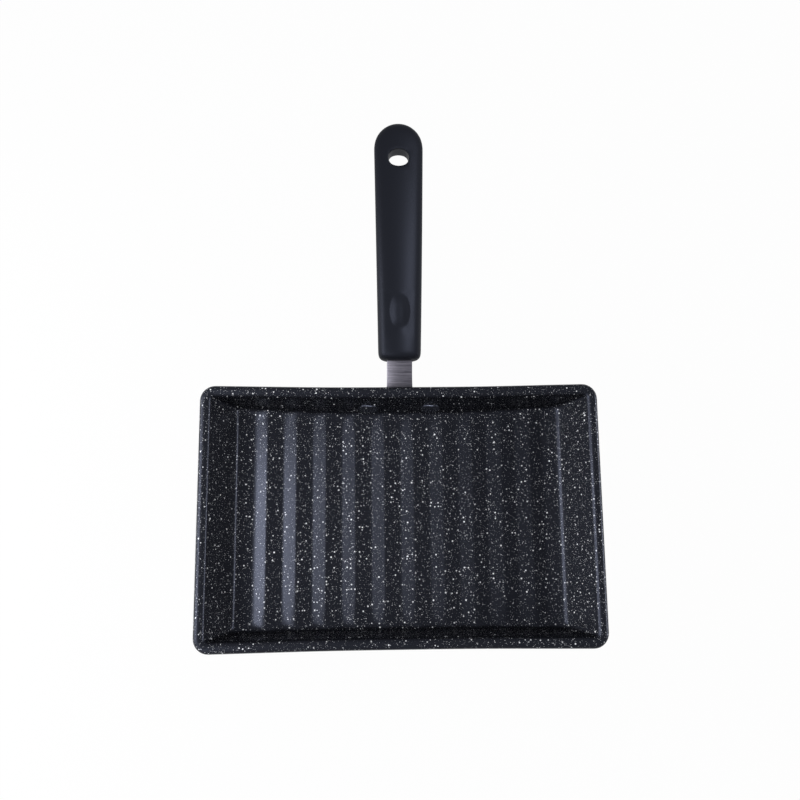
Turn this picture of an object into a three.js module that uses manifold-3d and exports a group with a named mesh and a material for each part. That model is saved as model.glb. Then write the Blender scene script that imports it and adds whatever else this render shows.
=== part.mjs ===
// A rectangular grill pan: a pressed sheet with a ribbed floor, and a grip screwed to a riveted bracket.
// Millimetres, +Z up. The pan stands on the plane z = 0 with its centre over the origin,
// and +Y points from the pan to the end of the grip.
import * as THREE from 'three';
import { mergeVertices } from 'three/addons/utils/BufferGeometryUtils.js';
import Module from 'manifold-3d';

// Pan: sizes over the rim are outside sizes, sizes of the floor are inside sizes
const RIM_WIDTH = 250;
const RIM_DEPTH = 162.5;
const RIM_CORNER_RADIUS = 9.6;
const RIM_BOW = 1.1; // how far the long sides of the rim curve in at their middle
const PAN_HEIGHT = 30;
const SHEET = 1.2;
const CURL_RADIUS = 3;
const CURL_START = 180; // degrees round the curl, where it grows out of the wall
const CURL_END = -120; // degrees round the curl, where its raw edge faces the wall
const FLOOR_WIDTH = 212;
const FLOOR_DEPTH = 139;
const FLOOR_CORNER_RADIUS = 5;
const FLOOR_BOW = 3.1; // the same inward curve at the foot of the long walls
const FOOT_RADIUS = 2.5;

// Ribs pressed into the floor, along Y
const RIB_COUNT = 12;
const RIB_PITCH = 19;
const RIB_HEIGHT = 2;
const CREST_RADIUS = 4;
const VALLEY_RADIUS = 5;
const VALLEY_FLAT = 2;

// Bracket: wings on the far wall, a bend under the rim and a tang into the grip
const PLATE = 2;
const WING_WIDTH = 56;
const WING_ABOVE_RIVETS = 5;
const WING_BELOW_RIVETS = 7;
const WING_CORNER_RADIUS = 5.5;
const BEND_RADIUS = 2.5;
const RIM_CLEARANCE = 1.5; // between the tang and the curled rim
const TANG_WIDTH = 15;
const TANG_NECK_WIDTH = 18;
const TANG_RISE = 15; // degrees above level
const TANG_SHOWN = 16.4; // from the rim to the front of the grip
const TANG_INSIDE = 53;
const TANG_CORNER_RADIUS = 3;

// Rivets through the far wall and the wings
const RIVET_SPACING = 40;
const RIVET_HEIGHT = 10.8; // above the plane that the pan stands on
const RIVET_HEAD_DIAMETER = 13;
const RIVET_HEAD_HEIGHT = 1.8;
const RIVET_SHANK_DIAMETER = 5;
const RIVET_TAIL_DIAMETER = 9;
const RIVET_TAIL_HEIGHT = 2;

// Grip
const GRIP_LENGTH = 148.5;
const GRIP_FRONT_WIDTH = 26.4;
const GRIP_END_WIDTH = 30.2;
const GRIP_FRONT_THICKNESS = 17;
const GRIP_END_THICKNESS = 12;
const GRIP_END_RISE = 3; // degrees above level, at the end of the grip
const GRIP_EDGE_RADIUS = 4; // round the front face
const GRIP_SQUARENESS = 2.6; // exponent of the section's outline: 2 is an ellipse
const GRIP_OVER_TANG = 1; // how far the grip's centre lies above the tang's, at the front
const HANGING_HOLE_DIAMETER = 12.8;
const HANGING_HOLE_FROM_END = 23.6;
const DIMPLE_WIDTH = 13.8;
const DIMPLE_LENGTH = 22;
const DIMPLE_DEPTH = 2;
const DIMPLE_FROM_FRONT = 28.8;

// Screw, washer and insert that hold the grip on the tang
const SCREW_FROM_FRONT = 44;
const SCREW_DIAMETER = 4.6;
const SCREW_HEAD_DIAMETER = 9;
const SCREW_HEAD_HEIGHT = 2.4;
const SCREW_SLOT_WIDTH = 1.2;
const SCREW_SLOT_LENGTH = 5;
const SCREW_SLOT_DEPTH = 1.3;
const SCREW_WEB = 2; // the grip's wall between the washer and the tang
const WASHER_DIAMETER = 8.4;
const WASHER_THICKNESS = 1.2;
const WASHER_SPLIT = 0.9;
const INSERT_DIAMETER = 8;
const INSERT_HEIGHT = 4;
const INSERT_RIDGES = 18;
const INSERT_RIDGE_HEIGHT = 0.4;

// Fits
const GAP = 0.3; // between pieces that seat on or pass through each other
const OVERRUN = 1; // how far a cutting shape goes past the face that it cuts
const MERGE_DISTANCE = 1e-4;

// Steps of the facets
const CORNER_STEPS = 5;
const LONG_SIDE_STEPS = 8;
const FOOT_STEPS = 4;
const CURL_STEPS = 10;
const CURL_INSIDE_STEPS = 6;
const ARC_STEPS = 3; // half the facets of an arc in an extruded outline
const ROUND_STEPS = 24;
const GRIP_ROUND_STEPS = 32;
const GRIP_LENGTH_STEPS = 10;
const GRIP_FRONT_STEPS = 3;
const GRIP_END_STEPS = 7;
const GRIP_LAST_ANGLE = 82; // degrees round the half-round end, where a small flat closes it

const X = new THREE.Vector3(1, 0, 0);
const Y = new THREE.Vector3(0, 1, 0);
const Z = new THREE.Vector3(0, 0, 1);
const RIGHT_ANGLE = Math.PI / 2;
const radians = THREE.MathUtils.degToRad;

const wasm = await Module();
wasm.setup();

// A closed geometry as a solid that can be joined and cut
function solidOf(geometry) {
  const bare = new THREE.BufferGeometry();
  bare.setAttribute('position', geometry.getAttribute('position'));
  bare.setIndex(geometry.getIndex());
  const merged = mergeVertices(bare, MERGE_DISTANCE);
  const corners = merged.getIndex().array;
  const triVerts = [];
  for (let i = 0; i < corners.length; i += 3) {
    const [a, b, c] = corners.slice(i, i + 3);
    if (a !== b && b !== c && c !== a) triVerts.push(a, b, c);
  }
  return new wasm.Manifold(new wasm.Mesh({
    numProp: 3,
    vertProperties: Float32Array.from(merged.getAttribute('position').array),
    triVerts: Uint32Array.from(triVerts),
  }));
}

function geometryOf(solid) {
  const mesh = solid.getMesh();
  const geometry = new THREE.BufferGeometry();
  geometry.setAttribute('position', new THREE.BufferAttribute(mesh.vertProperties, 3));
  geometry.setIndex(new THREE.BufferAttribute(mesh.triVerts, 1));
  geometry.computeVertexNormals();
  return geometry;
}

// A skin over rings of points, closed by a fan at each end or joined round into a loop
function loft(rings, loop = false) {
  const count = rings[0].length;
  const points = rings.flat();
  const index = [];
  const spans = loop ? rings.length : rings.length - 1;
  for (let ring = 0; ring < spans; ring += 1) {
    const low = ring * count;
    const high = ((ring + 1) % rings.length) * count;
    for (let k = 0; k < count; k += 1) {
      const next = (k + 1) % count;
      index.push(low + k, low + next, high + next, low + k, high + next, high + k);
    }
  }
  if (!loop) {
    const start = points.length - count;
    points.push(middleOf(rings[0]), middleOf(rings.at(-1)));
    for (let k = 0; k < count; k += 1) {
      const next = (k + 1) % count;
      index.push(points.length - 2, next, k, points.length - 1, start + k, start + next);
    }
  }
  const geometry = new THREE.BufferGeometry().setFromPoints(points);
  geometry.setIndex(index);
  return geometry;
}

function middleOf(ring) {
  const sum = new THREE.Vector3();
  for (const point of ring) sum.add(point);
  return sum.divideScalar(ring.length);
}

// An outline drawn on two axes and extruded along the third, to both sides of the drawing plane
function prism(outline, length, across, up) {
  const geometry = new THREE.ExtrudeGeometry(outline, {
    depth: length,
    bevelEnabled: false,
    curveSegments: ARC_STEPS,
  });
  geometry.translate(0, 0, -length / 2);
  const along = new THREE.Vector3().crossVectors(across, up);
  return geometry.applyMatrix4(new THREE.Matrix4().makeBasis(across, up, along));
}

// A round bar along Y, from one place to another
function bar(diameter, from, to) {
  const geometry = new THREE.CylinderGeometry(diameter / 2, diameter / 2, to - from, ROUND_STEPS);
  return geometry.translate(0, (from + to) / 2, 0);
}

// The slope of a line that runs from under one circle to over another, from the places of their centres
function crossingSlope(run, rise, firstRadius, secondRadius) {
  const turn = Math.asin((firstRadius + secondRadius) / Math.hypot(run, rise));
  return Math.atan2(rise, run) + turn;
}

// Walls: each runs straight from the fillet at its foot to the curl of the rim
const curlHeight = PAN_HEIGHT - CURL_RADIUS;
const footHeight = SHEET + FOOT_RADIUS;

function flareOf(rimSize, floorSize) {
  const run = rimSize / 2 - CURL_RADIUS - floorSize / 2;
  return RIGHT_ANGLE - crossingSlope(run, curlHeight - footHeight, FOOT_RADIUS, CURL_RADIUS);
}

const flareAcross = flareOf(RIM_WIDTH, FLOOR_WIDTH);
const flareAlong = flareOf(RIM_DEPTH, FLOOR_DEPTH);
const wallTop = curlHeight + CURL_RADIUS * Math.sin((flareAcross + flareAlong) / 2);

// How far a wall's face has come out from the floor's edge at a height
function wallRun(height, filletRadius, flare) {
  const aboveLowest = height - (footHeight - filletRadius);
  const tangentHeight = filletRadius * (1 - Math.sin(flare));
  if (aboveLowest > tangentHeight) {
    return filletRadius * Math.cos(flare) + (aboveLowest - tangentHeight) * Math.tan(flare);
  }
  return filletRadius * Math.sin(Math.acos(1 - aboveLowest / filletRadius));
}

// The share of the way from the foot of the wall to the rim
function wallShare(height) {
  return THREE.MathUtils.clamp((height - SHEET) / (curlHeight - SHEET), 0, 1);
}

function bowAt(height) {
  return THREE.MathUtils.lerp(FLOOR_BOW, RIM_BOW, wallShare(height));
}

// A rounded rectangle round the Z axis whose long sides bow in at the middle
function panRing(halfWidth, halfDepth, cornerRadius, bow, height) {
  const ring = [];
  const straight = halfWidth - cornerRadius;
  const side = halfDepth - cornerRadius;
  const centres = [[straight, side], [-straight, side], [-straight, -side], [straight, -side]];
  centres.forEach(([x, y], corner) => {
    for (let step = 0; step <= CORNER_STEPS; step += 1) {
      const angle = (corner + step / CORNER_STEPS) * RIGHT_ANGLE;
      ring.push(new THREE.Vector3(
        x + cornerRadius * Math.cos(angle),
        y + cornerRadius * Math.sin(angle),
        height,
      ));
    }
    if (corner % 2 === 0) {
      for (let step = 1; step < LONG_SIDE_STEPS; step += 1) {
        const share = 1 - 2 * step / LONG_SIDE_STEPS;
        const inward = bow * (1 - share * share);
        ring.push(new THREE.Vector3(x * share, Math.sign(y) * (halfDepth - inward), height));
      }
    }
  });
  return ring;
}

// The ring of a wall's inside face, or with the sheet's thickness added, of its outside face
function wallRing(height, thickness) {
  const filletRadius = FOOT_RADIUS + thickness;
  const corner = THREE.MathUtils.lerp(
    FLOOR_CORNER_RADIUS,
    RIM_CORNER_RADIUS - 2 * CURL_RADIUS,
    wallShare(height),
  );
  return panRing(
    FLOOR_WIDTH / 2 + wallRun(height, filletRadius, flareAcross),
    FLOOR_DEPTH / 2 + wallRun(height, filletRadius, flareAlong),
    corner + thickness,
    bowAt(height),
    height,
  );
}

// The space inside one face of the walls, from the floor's valleys up
function wallLoft(thickness, top) {
  const lowest = SHEET - thickness;
  const filletRadius = FOOT_RADIUS + thickness;
  const rings = [];
  for (let step = 0; step <= FOOT_STEPS; step += 1) {
    const angle = RIGHT_ANGLE * step / FOOT_STEPS;
    rings.push(wallRing(lowest + filletRadius * (1 - Math.cos(angle)), thickness));
  }
  rings.push(wallRing(top, thickness));
  return solidOf(loft(rings));
}

// All the space above the ribs, whose valleys lie at a height
function aboveRibs(valleyHeight) {
  const halfPitch = RIB_PITCH / 2;
  const halfFlat = VALLEY_FLAT / 2;
  const slope = crossingSlope(
    halfPitch - halfFlat,
    RIB_HEIGHT - CREST_RADIUS - VALLEY_RADIUS,
    VALLEY_RADIUS,
    CREST_RADIUS,
  );
  const down = -RIGHT_ANGLE;
  const up = RIGHT_ANGLE;
  const valleyCentre = valleyHeight + VALLEY_RADIUS;
  const crestCentre = valleyHeight + RIB_HEIGHT - CREST_RADIUS;
  const side = Math.max(RIM_WIDTH, (RIB_COUNT + 1) * RIB_PITCH) / 2; // past the walls and past the ribs
  const outline = new THREE.Shape();
  outline.moveTo(-side, valleyHeight);
  for (let rib = 0; rib < RIB_COUNT; rib += 1) {
    const x = (rib - (RIB_COUNT - 1) / 2) * RIB_PITCH;
    outline.absarc(x - halfPitch + halfFlat, valleyCentre, VALLEY_RADIUS, down, down + slope, false);
    outline.absarc(x, crestCentre, CREST_RADIUS, up + slope, up - slope, true);
    outline.absarc(x + halfPitch - halfFlat, valleyCentre, VALLEY_RADIUS, down - slope, down, false);
  }
  outline.lineTo(side, valleyHeight);
  outline.lineTo(side, PAN_HEIGHT + OVERRUN);
  outline.lineTo(-side, PAN_HEIGHT + OVERRUN);
  return solidOf(prism(outline, RIM_DEPTH, X, Z));
}

// The rolled edge of the rim, from the wall over the top and round under itself
function rimCurl() {
  const ringAt = (radius, angle) => {
    const out = radius * Math.cos(angle) - CURL_RADIUS;
    return panRing(
      RIM_WIDTH / 2 + out,
      RIM_DEPTH / 2 + out,
      RIM_CORNER_RADIUS + out,
      RIM_BOW,
      curlHeight + radius * Math.sin(angle),
    );
  };
  const rings = [];
  for (let step = 0; step <= CURL_STEPS; step += 1) {
    const angle = THREE.MathUtils.lerp(CURL_END, CURL_START, step / CURL_STEPS);
    rings.push(ringAt(CURL_RADIUS, radians(angle)));
  }
  for (let step = 0; step <= CURL_INSIDE_STEPS; step += 1) {
    const angle = THREE.MathUtils.lerp(CURL_START, CURL_END, step / CURL_INSIDE_STEPS);
    rings.push(ringAt(CURL_RADIUS - SHEET, radians(angle)));
  }
  return solidOf(loft(rings, true));
}

// The seat of the bracket: the middle of the far wall's outside face, at the height of the rivets
function farWallAt(height) {
  const run = wallRun(height, FOOT_RADIUS + SHEET, flareAlong);
  return FLOOR_DEPTH / 2 - bowAt(height) + run;
}

const seatDepth = farWallAt(RIVET_HEIGHT);
const wallLean = Math.atan2(farWallAt(curlHeight) - seatDepth, curlHeight - RIVET_HEIGHT);

// Places a piece that is drawn with Y out of the far wall and Z up it
function onFarWall(geometry, x = 0) {
  return geometry.rotateX(-wallLean).translate(x, seatDepth, RIVET_HEIGHT);
}

const rivetPlaces = [-RIVET_SPACING / 2, RIVET_SPACING / 2];
const rivetHoleDiameter = RIVET_SHANK_DIAMETER + 2 * GAP;

function rivetHole(x) {
  const reach = SHEET + GAP + PLATE + OVERRUN;
  return solidOf(onFarWall(bar(rivetHoleDiameter, -reach, reach), x));
}

function panBody() {
  const outside = wallLoft(SHEET, wallTop).intersect(aboveRibs(0));
  const inside = wallLoft(0, wallTop + OVERRUN).intersect(aboveRibs(SHEET));
  let pan = outside.subtract(inside).add(rimCurl());
  for (const x of rivetPlaces) pan = pan.subtract(rivetHole(x));
  return geometryOf(pan);
}

// Bracket: points of its side view are (distance along Y, height)
const upWall = new THREE.Vector2(Math.sin(wallLean), Math.cos(wallLean));
const outOfWall = new THREE.Vector2(Math.cos(wallLean), -Math.sin(wallLean));
const rise = radians(TANG_RISE);
const alongTang = new THREE.Vector2(Math.cos(rise), Math.sin(rise));
const overTang = new THREE.Vector2(-Math.sin(rise), Math.cos(rise));
const seat = new THREE.Vector2(seatDepth, RIVET_HEIGHT);
const rimMiddle = RIM_DEPTH / 2 - RIM_BOW;
const gripFront = rimMiddle + TANG_SHOWN;

function onSeat(out, up) {
  return seat.clone().addScaledVector(outOfWall, out).addScaledVector(upWall, up);
}

// The bend starts where the tang then passes the curl of the rim with its clearance
const bendOut = GAP + PLATE + BEND_RADIUS;
const curlCentre = new THREE.Vector2(rimMiddle - CURL_RADIUS, curlHeight);
const curlOverBend = BEND_RADIUS + PLATE + RIM_CLEARANCE + CURL_RADIUS;
const bendStart = (curlCentre.dot(overTang) - curlOverBend - onSeat(bendOut, 0).dot(overTang))
  / upWall.dot(overTang);
const bendCentre = onSeat(bendOut, bendStart);

// A point on the tang's middle plane, at a distance along Y
function tangAt(y) {
  const start = bendCentre.clone().addScaledVector(overTang, BEND_RADIUS + PLATE / 2);
  return start.addScaledVector(alongTang, (y - start.x) / alongTang.x);
}

const tangEnd = gripFront + TANG_INSIDE;

// The corners of the wings, which are round ends at the most
const wingCorner = Math.min(WING_CORNER_RADIUS, (WING_ABOVE_RIVETS + WING_BELOW_RIVETS) / 2);

function wing() {
  const side = WING_WIDTH / 2 - wingCorner;
  const low = wingCorner - WING_BELOW_RIVETS;
  const high = WING_ABOVE_RIVETS - wingCorner;
  const outline = new THREE.Shape();
  outline.absarc(side, low, wingCorner, -RIGHT_ANGLE, 0, false);
  outline.absarc(side, high, wingCorner, 0, RIGHT_ANGLE, false);
  outline.absarc(-side, high, wingCorner, RIGHT_ANGLE, Math.PI, false);
  outline.absarc(-side, low, wingCorner, Math.PI, 3 * RIGHT_ANGLE, false);
  const plate = prism(outline, PLATE, X, Z).translate(0, GAP + PLATE / 2, 0);
  return solidOf(onFarWall(plate));
}

// The strip from the wings round the bend to the end of the tang, seen from the side
function bentStrip() {
  const upAngle = Math.atan2(upWall.y, upWall.x) + RIGHT_ANGLE;
  const tangAngle = rise + RIGHT_ANGLE;
  const outerRadius = BEND_RADIUS + PLATE;
  const wallFace = onSeat(GAP, wingCorner - WING_BELOW_RIVETS);
  const outFace = onSeat(GAP + PLATE, wingCorner - WING_BELOW_RIVETS);
  const end = tangAt(tangEnd);
  const endTop = end.clone().addScaledVector(overTang, PLATE / 2);
  const endLow = end.clone().addScaledVector(overTang, -PLATE / 2);
  const outline = new THREE.Shape();
  outline.moveTo(wallFace.x, wallFace.y);
  outline.absarc(bendCentre.x, bendCentre.y, outerRadius, upAngle, tangAngle, true);
  outline.lineTo(endTop.x, endTop.y);
  outline.lineTo(endLow.x, endLow.y);
  outline.absarc(bendCentre.x, bendCentre.y, BEND_RADIUS, tangAngle, upAngle, false);
  outline.lineTo(outFace.x, outFace.y);
  return solidOf(prism(outline, TANG_NECK_WIDTH, Y, Z));
}

// The tang's outline from above: wide at the wings, narrowing under the rim, round at its corners
function tangPlan() {
  const half = TANG_WIDTH / 2;
  const neck = TANG_NECK_WIDTH / 2;
  const root = seatDepth - SHEET - OVERRUN;
  const neckEnd = bendCentre.x;
  const straightStart = rimMiddle + TANG_SHOWN / 2;
  const corner = tangEnd - TANG_CORNER_RADIUS;
  const outline = new THREE.Shape();
  outline.moveTo(-neck, root);
  outline.lineTo(neck, root);
  outline.lineTo(neck, neckEnd);
  outline.quadraticCurveTo(half, neckEnd, half, straightStart);
  outline.absarc(half - TANG_CORNER_RADIUS, corner, TANG_CORNER_RADIUS, 0, RIGHT_ANGLE, false);
  outline.absarc(TANG_CORNER_RADIUS - half, corner, TANG_CORNER_RADIUS, RIGHT_ANGLE, Math.PI, false);
  outline.lineTo(-half, straightStart);
  outline.quadraticCurveTo(-half, neckEnd, -neck, neckEnd);
  return solidOf(prism(outline, 4 * tangAt(tangEnd).y, X, Y));
}

// Places a piece that is drawn along Y on the screw's axis, with Y up and 0 at the tang's middle plane
const screwPlace = tangAt(gripFront + SCREW_FROM_FRONT);

function onScrew(geometry) {
  return geometry.rotateX(RIGHT_ANGLE + rise).translate(0, screwPlace.x, screwPlace.y);
}

const screwHoleDiameter = SCREW_DIAMETER + 2 * GAP;

function handleBracket() {
  let bracket = wing().add(bentStrip().intersect(tangPlan()));
  for (const x of rivetPlaces) bracket = bracket.subtract(rivetHole(x));
  const screwHole = onScrew(bar(screwHoleDiameter, -PLATE, PLATE));
  return geometryOf(bracket.subtract(solidOf(screwHole)));
}

// A turned piece along Y from the half outline of its section
function turned(points) {
  return new THREE.LatheGeometry(points.map(([r, y]) => new THREE.Vector2(r, y)), ROUND_STEPS);
}

// A rivet: low domed head on the inside of the wall, shank, and formed tail on the wings
function rivet(x) {
  const headSeat = -SHEET - GAP;
  const tailSeat = GAP + PLATE + GAP;
  const head = RIVET_HEAD_DIAMETER / 2;
  const shank = RIVET_SHANK_DIAMETER / 2;
  const tail = RIVET_TAIL_DIAMETER / 2;
  const points = [[0, headSeat - RIVET_HEAD_HEIGHT]];
  for (let step = 1; step <= ARC_STEPS; step += 1) {
    const angle = RIGHT_ANGLE * step / ARC_STEPS;
    points.push([head * Math.sin(angle), headSeat - RIVET_HEAD_HEIGHT * (1 + Math.cos(angle)) / 2]);
  }
  points.push([head, headSeat], [shank, headSeat], [shank, tailSeat], [tail, tailSeat]);
  for (let step = 1; step < ARC_STEPS; step += 1) {
    const angle = RIGHT_ANGLE * step / ARC_STEPS;
    points.push([tail * Math.cos(angle), tailSeat + RIVET_TAIL_HEIGHT * Math.sin(angle)]);
  }
  points.push([0, tailSeat + RIVET_TAIL_HEIGHT]);
  return geometryOf(solidOf(onFarWall(turned(points), x)));
}

// Grip: its centre line starts along the tang and levels out towards the end
const gripStartHeight = tangAt(gripFront).y + GRIP_OVER_TANG;
const endRadius = GRIP_END_WIDTH / 2;

function gripHeightAt(along) {
  const startSlope = Math.tan(rise);
  const slopeChange = Math.tan(radians(GRIP_END_RISE)) - startSlope;
  return gripStartHeight + startSlope * along + slopeChange * along * along / (2 * GRIP_LENGTH);
}

function gripSlopeAt(along) {
  const slope = THREE.MathUtils.lerp(Math.tan(rise), Math.tan(radians(GRIP_END_RISE)), along / GRIP_LENGTH);
  return Math.atan(slope);
}

function gripHalfWidthAt(along) {
  const share = along / (GRIP_LENGTH - endRadius);
  return THREE.MathUtils.lerp(GRIP_FRONT_WIDTH, GRIP_END_WIDTH, share) / 2;
}

function gripHalfThicknessAt(along) {
  const share = along / (GRIP_LENGTH - endRadius);
  return THREE.MathUtils.lerp(GRIP_FRONT_THICKNESS, GRIP_END_THICKNESS, share) / 2;
}

function gripRing(along, halfWidth, halfThickness) {
  const power = 2 / GRIP_SQUARENESS;
  const swell = (value) => Math.sign(value) * Math.abs(value) ** power;
  const ring = [];
  for (let step = 0; step < GRIP_ROUND_STEPS; step += 1) {
    const angle = 4 * RIGHT_ANGLE * step / GRIP_ROUND_STEPS;
    ring.push(new THREE.Vector3(
      halfWidth * swell(Math.cos(angle)),
      gripFront + along,
      gripHeightAt(along) - halfThickness * swell(Math.sin(angle)),
    ));
  }
  return ring;
}

function gripForm() {
  const rings = [];
  for (let step = 0; step < GRIP_FRONT_STEPS; step += 1) {
    const angle = RIGHT_ANGLE * step / GRIP_FRONT_STEPS;
    const along = GRIP_EDGE_RADIUS * (1 - Math.cos(angle));
    const inset = GRIP_EDGE_RADIUS * (1 - Math.sin(angle));
    rings.push(gripRing(along, gripHalfWidthAt(along) - inset, gripHalfThicknessAt(along) - inset));
  }
  const bodyLength = GRIP_LENGTH - endRadius;
  for (let step = 0; step < GRIP_LENGTH_STEPS; step += 1) {
    const along = THREE.MathUtils.lerp(GRIP_EDGE_RADIUS, bodyLength, step / GRIP_LENGTH_STEPS);
    rings.push(gripRing(along, gripHalfWidthAt(along), gripHalfThicknessAt(along)));
  }
  for (let step = 0; step <= GRIP_END_STEPS; step += 1) {
    const angle = radians(GRIP_LAST_ANGLE * step / GRIP_END_STEPS);
    const thinning = Math.sqrt(1 - Math.sin(angle) ** 4);
    rings.push(gripRing(
      bodyLength + endRadius * Math.sin(angle),
      endRadius * Math.cos(angle),
      thinning * GRIP_END_THICKNESS / 2,
    ));
  }
  return solidOf(loft(rings));
}

function hangingHole() {
  const along = GRIP_LENGTH - HANGING_HOLE_FROM_END;
  const hole = bar(HANGING_HOLE_DIAMETER, -GRIP_END_THICKNESS, GRIP_END_THICKNESS);
  return solidOf(hole.rotateX(RIGHT_ANGLE).translate(0, gripFront + along, gripHeightAt(along)));
}

// The thumb dimple: the cap of a stretched ball that is sunk into the top of the grip
function thumbDimple() {
  const halfWidth = DIMPLE_WIDTH / 2;
  const ballRadius = (halfWidth ** 2 + DIMPLE_DEPTH ** 2) / (2 * DIMPLE_DEPTH);
  const ball = new THREE.SphereGeometry(ballRadius, 2 * ROUND_STEPS, ROUND_STEPS);
  ball.rotateX(RIGHT_ANGLE);
  ball.scale(1, DIMPLE_LENGTH / DIMPLE_WIDTH, 1);
  ball.translate(0, 0, ballRadius - DIMPLE_DEPTH);
  ball.rotateX(gripSlopeAt(DIMPLE_FROM_FRONT));
  const top = gripHeightAt(DIMPLE_FROM_FRONT) + gripHalfThicknessAt(DIMPLE_FROM_FRONT);
  return solidOf(ball.translate(0, gripFront + DIMPLE_FROM_FRONT, top));
}

const slotHalf = PLATE / 2 + GAP;

function tangSlot() {
  const length = TANG_INSIDE / alongTang.x + GAP + OVERRUN;
  const slot = new THREE.BoxGeometry(TANG_WIDTH + 2 * GAP, length, 2 * slotHalf);
  const middle = tangAt(gripFront).addScaledVector(alongTang, length / 2 - OVERRUN);
  return solidOf(slot.rotateX(rise).translate(0, middle.x, middle.y));
}

// Along the screw's axis, with Y up from the tang: the web, the washer and the head lie below it
const insertLow = PLATE / 2 + GAP;
const insertHigh = insertLow + INSERT_HEIGHT;
const webLow = -slotHalf - SCREW_WEB;
const washerHigh = webLow - GAP;
const headHigh = washerHigh - WASHER_THICKNESS - GAP;
const headLow = headHigh - SCREW_HEAD_HEIGHT;
const screwTip = insertHigh - GAP;

function screwPassage() {
  const counterbore = bar(SCREW_HEAD_DIAMETER + 2 * GAP, webLow - GRIP_FRONT_THICKNESS, webLow);
  const through = bar(screwHoleDiameter, webLow - OVERRUN, 0);
  const pocket = bar(INSERT_DIAMETER + 2 * GAP, 0, insertHigh + GAP);
  let passage = solidOf(onScrew(counterbore));
  passage = passage.add(solidOf(onScrew(through)));
  return passage.add(solidOf(onScrew(pocket)));
}

function grip() {
  const cuts = [tangSlot(), screwPassage(), thumbDimple(), hangingHole()];
  return geometryOf(cuts.reduce((body, cut) => body.subtract(cut), gripForm()));
}

function gripScrew() {
  const shank = SCREW_DIAMETER / 2;
  const head = SCREW_HEAD_DIAMETER / 2;
  const points = [[0, headLow]];
  for (let step = 1; step <= ARC_STEPS; step += 1) {
    const angle = RIGHT_ANGLE * step / ARC_STEPS;
    points.push([head * Math.sin(angle), headHigh - SCREW_HEAD_HEIGHT * (1 + Math.cos(angle)) / 2]);
  }
  points.push([head, headHigh], [shank, headHigh], [shank, screwTip], [0, screwTip]);
  let screw = solidOf(onScrew(turned(points)));
  for (const turn of [0, RIGHT_ANGLE]) {
    const slot = new THREE.BoxGeometry(SCREW_SLOT_LENGTH, 2 * SCREW_SLOT_DEPTH, SCREW_SLOT_WIDTH);
    screw = screw.subtract(solidOf(onScrew(slot.rotateY(turn).translate(0, headLow, 0))));
  }
  return geometryOf(screw);
}

function springWasher() {
  const ring = new THREE.Shape();
  ring.absarc(0, 0, WASHER_DIAMETER / 2, 0, 4 * RIGHT_ANGLE, false);
  const bore = new THREE.Path();
  bore.absarc(0, 0, screwHoleDiameter / 2, 0, 4 * RIGHT_ANGLE, true);
  ring.holes.push(bore);
  const washer = new THREE.ExtrudeGeometry(ring, {
    depth: WASHER_THICKNESS,
    bevelEnabled: false,
    curveSegments: ROUND_STEPS / 2,
  });
  washer.rotateX(RIGHT_ANGLE).translate(0, washerHigh, 0);
  const split = new THREE.BoxGeometry(WASHER_DIAMETER, 4 * WASHER_THICKNESS, WASHER_SPLIT);
  split.translate(WASHER_DIAMETER / 2, washerHigh, 0);
  return geometryOf(solidOf(onScrew(washer)).subtract(solidOf(onScrew(split))));
}

// The insert: a ridged brass bush, so that it can't turn in the moulding
function threadedInsert() {
  const crest = INSERT_DIAMETER / 2;
  const outline = new THREE.Shape();
  for (let step = 0; step < 2 * INSERT_RIDGES; step += 1) {
    const angle = 2 * RIGHT_ANGLE * step / INSERT_RIDGES;
    const radius = step % 2 === 0 ? crest : crest - INSERT_RIDGE_HEIGHT;
    const point = [radius * Math.cos(angle), radius * Math.sin(angle)];
    if (step === 0) outline.moveTo(...point);
    else outline.lineTo(...point);
  }
  const bore = new THREE.Path();
  bore.absarc(0, 0, screwHoleDiameter / 2, 0, 4 * RIGHT_ANGLE, true);
  outline.holes.push(bore);
  const bush = new THREE.ExtrudeGeometry(outline, {
    depth: INSERT_HEIGHT,
    bevelEnabled: false,
    curveSegments: ROUND_STEPS / 2,
  });
  bush.rotateX(RIGHT_ANGLE).translate(0, insertHigh, 0);
  return geometryOf(solidOf(onScrew(bush)));
}

// Finishes
function coating() {
  return new THREE.MeshStandardMaterial({ color: 0x24262d, roughness: 0.45, metalness: 0 });
}

const softBlack = new THREE.MeshStandardMaterial({ color: 0x222329, roughness: 0.55, metalness: 0 });
const bareSteel = new THREE.MeshStandardMaterial({ color: 0x8d8b95, roughness: 0.35, metalness: 1 });
const platedSteel = new THREE.MeshStandardMaterial({ color: 0x9c9ca2, roughness: 0.3, metalness: 1 });
const springSteel = new THREE.MeshStandardMaterial({ color: 0x77777c, roughness: 0.4, metalness: 1 });
const brass = new THREE.MeshStandardMaterial({ color: 0xb08d4a, roughness: 0.35, metalness: 1 });

const pan = new THREE.Group();

function addPiece(name, geometry, material) {
  const mesh = new THREE.Mesh(geometry, material);
  mesh.name = name;
  pan.add(mesh);
}

addPiece('pan_body', panBody(), coating());
addPiece('handle_bracket', handleBracket(), bareSteel);
addPiece('rivet_left', rivet(rivetPlaces[0]), coating());
addPiece('rivet_right', rivet(rivetPlaces[1]), coating());
addPiece('grip', grip(), softBlack);
addPiece('grip_screw', gripScrew(), platedSteel);
addPiece('spring_washer', springWasher(), springSteel);
addPiece('threaded_insert', threadedInsert(), brass);

export default pan;
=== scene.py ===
# %% [markdown]
# # A rectangular grill pan
# The pan is pressed from one thin steel sheet and coated dark with pale flecks. A bare steel bracket is
# riveted to its far wall, and a black moulded grip is screwed to the bracket.
# The measured solids come first, as a frame that is never moved. Each piece of the lesson is then modelled
# over the solid that it stands for, in the same place and at the same size.

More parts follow.
